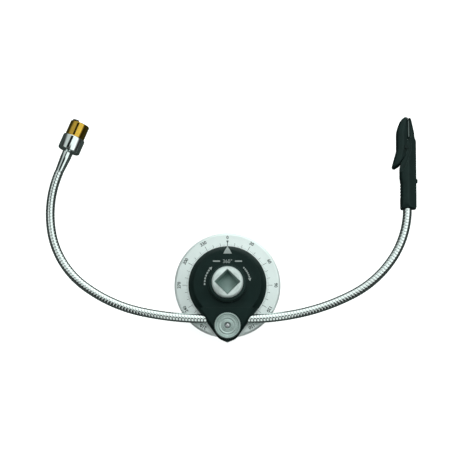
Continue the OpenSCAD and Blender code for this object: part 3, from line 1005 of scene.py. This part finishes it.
def body_outline():
    """Handle and fixed jaw, with finger grips on the left edge."""
    right = [(-4.7, -1.2), (6, -0.9), (6.9, 0.2), (6.9, 23.4), (6.9, 23.8), (6.9, 51.5), (5.9, 53.6),
             (5.6, 57.6), (3.5, 67.7), (2.9, 69.1), (1.25, 69.5), (1.25, 67.4), (1.75, 67.3), (1.75, 54.5),
             (1.1, 54.5), (1.1, 52.8), (-2.5, 50.8), (-4.5, 48.5), (-4.5, 36), (-5.7, 31), (-5.8, 23),
             (-5.4, 21.4)]
    grips = []
    for k in range(4, -1, -1):
        for turn in range(50, -51, -20):
            grips.append(polar(1.3, math.radians(turn), (-6.2, 8.9 + 2.4 * k)))
    return right + grips + [(-5.35, 0)]


JAW_OUTLINE = [(-1.3, 70), (-3.6, 68.4), (-5.65, 65.6), (-7.6, 60.4), (-8.15, 57.2), (-8.15, 44.1),
               (-11.6, 31.9), (-11.3, 30.6), (-9.5, 29.9), (-5.65, 32.2), (2.1, 44.2), (2.7, 46.5),
               (2.1, 49), (0.95, 51.6), (0.95, 69.5)]
BODY_FOLDS = [(1, [(0, 0.9), (70, 0.9)])]
JAW_FOLDS = [(-1, [(30, -9.6), (45, -5.9), (58, -5.9), (66, -4.2)]),
             (1, [(30, -7.4), (45, -3.2), (58, -3), (68, -1.6)])]
CHEEK_ROOM = [(-14, 27.4), (-4.5, 27.4), (-2, 30), (3.1, 43.8), (3.1, 49.4), (1.9, 53.6), (-14, 53.6)]
CHEEK_Z = HALF_T - 2
PIVOT = (-0.5, 46.5)


def make_clip():
    material = M["clip_plastic"]
    place = clip_frame()

    outline = rounded_corners(body_outline(), 0.8, 4)
    body = moulding("clip_handle", outline, 2.6, 1.9, 0.5, material, place, BODY_FOLDS, 0.5)
    for low, high in ((CHEEK_Z, 20), (-20, -CHEEK_Z)):
        cut(body, prism("room", CHEEK_ROOM, low, high, material, place=place))
    cut(body, block("spring_room", (-6, 42.8, -1.9), (3.2, 50.2, 1.9), material, place))
    turned = place @ Matrix.Translation((0, -5 * MM, 0)) @ Matrix.Rotation(-math.pi / 2, 4, "X")
    wide, close = HOSE_R + 0.6, HOSE_R + 0.05
    bore = [(0, 0), (wide, 0), (wide, 4.2), (close, 4.8), (close, 29.3), (0, 29.3)]
    cut(body, lathe("bore", bore, material, 64, place=turned))
    cut(body, block("strip_room", (1.15, 54.55, -2.75), (1.95, 67.3, 2.75), material, place))
    smooth(body, 45)
    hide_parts("clip_body")
    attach(body, "right_4")

    outline = rounded_corners(JAW_OUTLINE, 0.9, 4)
    jaw = moulding("clip_lever", outline, 2.8, 1.6, 0.4, material, place, JAW_FOLDS, 0.5)
    inner = [(-5.3, 53.4), (-5.3, 44.6), (-9.35, 30.8), (-8, 25), (5, 25), (5, 53.4)]
    cut(jaw, prism("tongue_room", inner, -CHEEK_Z - 0.1, CHEEK_Z + 0.1, material, place=place))
    cut(jaw, block("strip_room", (0.35, 54.5, -2.75), (1.15, 67.3, 2.75), material, place))
    smooth(jaw, 45)
    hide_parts("clip_jaw")
    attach(jaw, "jaw")

    for node, low, body_name in (("fixed_jaw_strip", 1.25, "right_4"), ("moving_jaw_strip", 0.4, "jaw")):
        near, far = (low, 54.6, -2.7), (low + 0.65, 67.2, 2.7)
        strip = block(node.replace("jaw", "grip"), near, far, M["strip_steel"], place)
        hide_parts(node)
        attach(strip, body_name)

    side = place @ Matrix.Translation((0, 20.8 * MM, 0))
    head = [(0, -0.5), (0.95, -0.5), (0.95, 6.9), (1.7, 6.9), (1.7, 7.5), (1.3, 7.9), (0, 7.9)]
    turned = side @ Matrix.Rotation(math.pi / 2, 4, "Y")
    screw = lathe("clip_side_screw", head, M["black_spring_steel"], 48, 0.15, turned)
    cut(screw, block("slot", (7.4, -2, -0.25), (9, 2, 0.25), material, side))
    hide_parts("clip_screw")
    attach(screw, "right_4")


def coil(name, centre_line, radius, material, sides=14, place=None):
    """Round wire along a list of points, with closed ends."""
    rings = []
    across = None
    for i, here in enumerate(centre_line):
        before, after = centre_line[max(i - 1, 0)], centre_line[min(i + 1, len(centre_line) - 1)]
        along = (Vector(after) - Vector(before)).normalized()
        across = across - along * across.dot(along) if across else along.orthogonal()
        across.normalize()
        up = along.cross(across)
        turns = [2 * math.pi * k / sides for k in range(sides)]
        rings.append([Vector(here) + radius * (math.cos(t) * across + math.sin(t) * up) for t in turns])
    return add_mesh(name, *loft(rings), material, 60, place)


def helix(radius, low, high, turns, start=0.0, sense=1):
    """Points up a coil round Z, 48 a turn."""
    count = turns * 48
    points = []
    for k in range(count + 1):
        turn = start + sense * 2 * math.pi * turns * k / count
        height = low + (high - low) * k / count
        points.append(Vector((*polar(radius, turn), height)))
    return points


def make_springs():
    place = clip_frame() @ Matrix.Translation(Vector((*PIVOT, 0)) * MM)
    reach, rise = 2.4, 1.25
    path = [Vector((3.2, -reach, -rise)), *helix(reach, -rise, rise, 2, -math.pi / 2, -1),
            Vector((-4.2, -reach, rise))]
    piece = coil("clip_coil", path, 0.4, M["dark_wire"], place=place)
    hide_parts("clip_spring")
    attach(piece, "right_4")

    outwards = Matrix.Rotation(math.pi / 4, 4, "Z") @ Matrix.Rotation(math.pi / 2, 4, "Y")
    place = Matrix.Translation((0, 0, -8 * MM)) @ outwards
    low, high = -1.25, 3.0
    wire, travel = 0.28, 0.8
    piece = coil("detent_coil", helix(1.4, low, high, 5), wire, M["spring_wire"], place=place)
    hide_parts("detent_spring")
    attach(piece, "shaft")
    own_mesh(piece)


# -------- stage

TILT = math.radians(80)
VIEW = Vector((0, -math.cos(TILT), math.sin(TILT)))
FRAME_WIDTH = 348.2 * MM
AIM = Vector((1.9, 42.3, 7)) * MM
FLOOR_GLOW = 0.8
NEAR_WHITE = (0.97, 1, 0.99)


def make_camera():
    data = bpy.data.cameras.new("camera")
    distance, sensor = 2.4, 36
    data.sensor_width = sensor
    data.lens = sensor * distance / FRAME_WIDTH
    data.clip_end = 20
    camera = new_object("camera", data)
    camera.location = AIM + VIEW * distance
    camera.rotation_euler = (-VIEW).to_track_quat("-Z", "Y").to_euler()
    SCENE.camera = camera


def card(name, corners, material):
    """Flat sheet with its corners in metres."""
    mesh = bpy.data.meshes.new(name)
    mesh.from_pydata([tuple(c) for c in corners], [], [(0, 1, 2, 3)])
    mesh.materials.append(material)
    return new_object(name, mesh)


def make_floor():
    """Pale paper that stays near white for the camera and reads as dark surroundings in reflections."""
    paper = Shader("floor_paper", (0.93, 0.95, 0.945), 0.0, 0.9)
    paper.set("Specular IOR Level", 0.1)
    path = paper.node("LightPath")
    paper.paint(paper.mix(path.outputs["Is Glossy Ray"], (0.93, 0.95, 0.945, 1), (0.07, 0.085, 0.08, 1)))
    paper.set("Emission Color", (*NEAR_WHITE, 1))
    paper.set("Emission Strength", paper.product(path.outputs["Is Camera Ray"], FLOOR_GLOW))
    size = 6
    level = CAD_BOX[0][2] - 0.2 * MM
    corners = [(-size, -size, level), (size, -size, level), (size, size, level), (-size, size, level)]
    floor = card("floor", corners, paper.material)


class Sky(Nodes):
    """World whose brightness is worked out from the direction with a few node formulas."""

    def __init__(self):
        world = bpy.data.worlds.new("studio")
        SCENE.world = world
        super().__init__(world)
        self.direction = self.node("TexCoord").outputs["Generated"]

    def along(self, axis):
        """How far the direction points along an axis, from -1 to 1."""
        made = self.node("VectorMath", (0, self.direction), (1, axis), operation="DOT_PRODUCT")
        return made.outputs["Value"]


def make_world():
    """Wide softbox overhead and behind, narrow one in front, and a dark gap round the viewing direction."""
    sky = Sky()
    right = sky.along((1, 0, 0))
    aside = sky.maths("ABSOLUTE", right)
    back = sky.along((0, 1, 0))
    up = sky.along((0, 0, 1))
    overhead = sky.product(sky.ramp(aside, 0.86, 0.7), sky.ramp(back, -0.36, -0.24))
    overhead = sky.product(overhead, sky.ramp(up, -0.02, 0.06))
    front = sky.product(sky.ramp(aside, 0.24, 0.16), sky.ramp(up, 0.08, 0.2), 0.8)
    gap = sky.ramp(sky.along(tuple(VIEW)), math.cos(math.radians(13)), math.cos(math.radians(17)))
    shade = sky.maths("MULTIPLY_ADD", sky.ramp(right, -0.45, 0.05), 0.45, 0.55)
    bright = sky.product(sky.maths("MAXIMUM", overhead, front), gap, shade)
    level = sky.maths("MULTIPLY_ADD", bright, 1.12, 0.04)
    shares = (("Red", 0.95), ("Green", 1.0), ("Blue", 0.985))
    tint = sky.node("CombineColor", *[(channel, sky.product(level, share)) for channel, share in shares])
    for_camera = sky.node("LightPath").outputs["Is Camera Ray"]
    colour = sky.mix(for_camera, tint.outputs["Color"], (*NEAR_WHITE, 1))
    sky.feed(sky.tree.nodes["Background"].inputs["Color"], colour)


def add_light(name, place, width, height, power, colour):
    """Softbox that points at the drive axis."""
    data = bpy.data.lights.new(name, "AREA")
    data.shape = "RECTANGLE"
    data.size = width
    data.size_y = height
    data.energy = power
    data.color = colour
    light = new_object(name, data)
    light.location = place
    light.rotation_euler = (-Vector(place)).to_track_quat("-Z", "Y").to_euler()


def make_lights():
    add_light("back_softbox", (0.1, 0.9, 0.7), 1.2, 0.5, 0.9, (0.96, 1, 0.99))
    add_light("left_softbox", (-1.2, -0.1, 1.0), 0.9, 0.7, 0.8, (0.97, 1, 0.99))
    add_light("right_softbox", (1.2, 0.1, 1.1), 0.9, 0.7, 0.5, (1, 1, 1))


def make_flag():
    """Dark card over the magnet end, which only mirrors can see."""
    place = end_frame("left") @ Vector((0, 0, 25 * MM))
    towards = Vector((-0.2, 0.26, 0.94)).normalized()
    centre = place + towards * 0.25
    along = Vector((0.38, 0.92, 0)).normalized()
    side = towards.cross(along).normalized()
    corners = [centre + side * a * 0.055 + along * b * 0.09 for a, b in ((-1, -1), (1, -1), (1, 1), (-1, 1))]
    flag = card("flag", corners, print_ink("flag_card", (0.02, 0.03, 0.03)).material)
    flag.visible_camera = False
    flag.visible_diffuse = False
    flag.visible_shadow = False


SCENE.view_settings.view_transform = "Standard"
make_camera()
make_floor()
make_world()
make_lights()
make_flag()
paint_cad_nodes()
make_gooseneck()
make_housing()
make_bush()
make_housing_marks()
make_dial()
make_dial_marks()
make_shaft()
make_nut()
make_stud()
make_clamp_plate()
make_magnet_end()
make_clip()
make_springs()
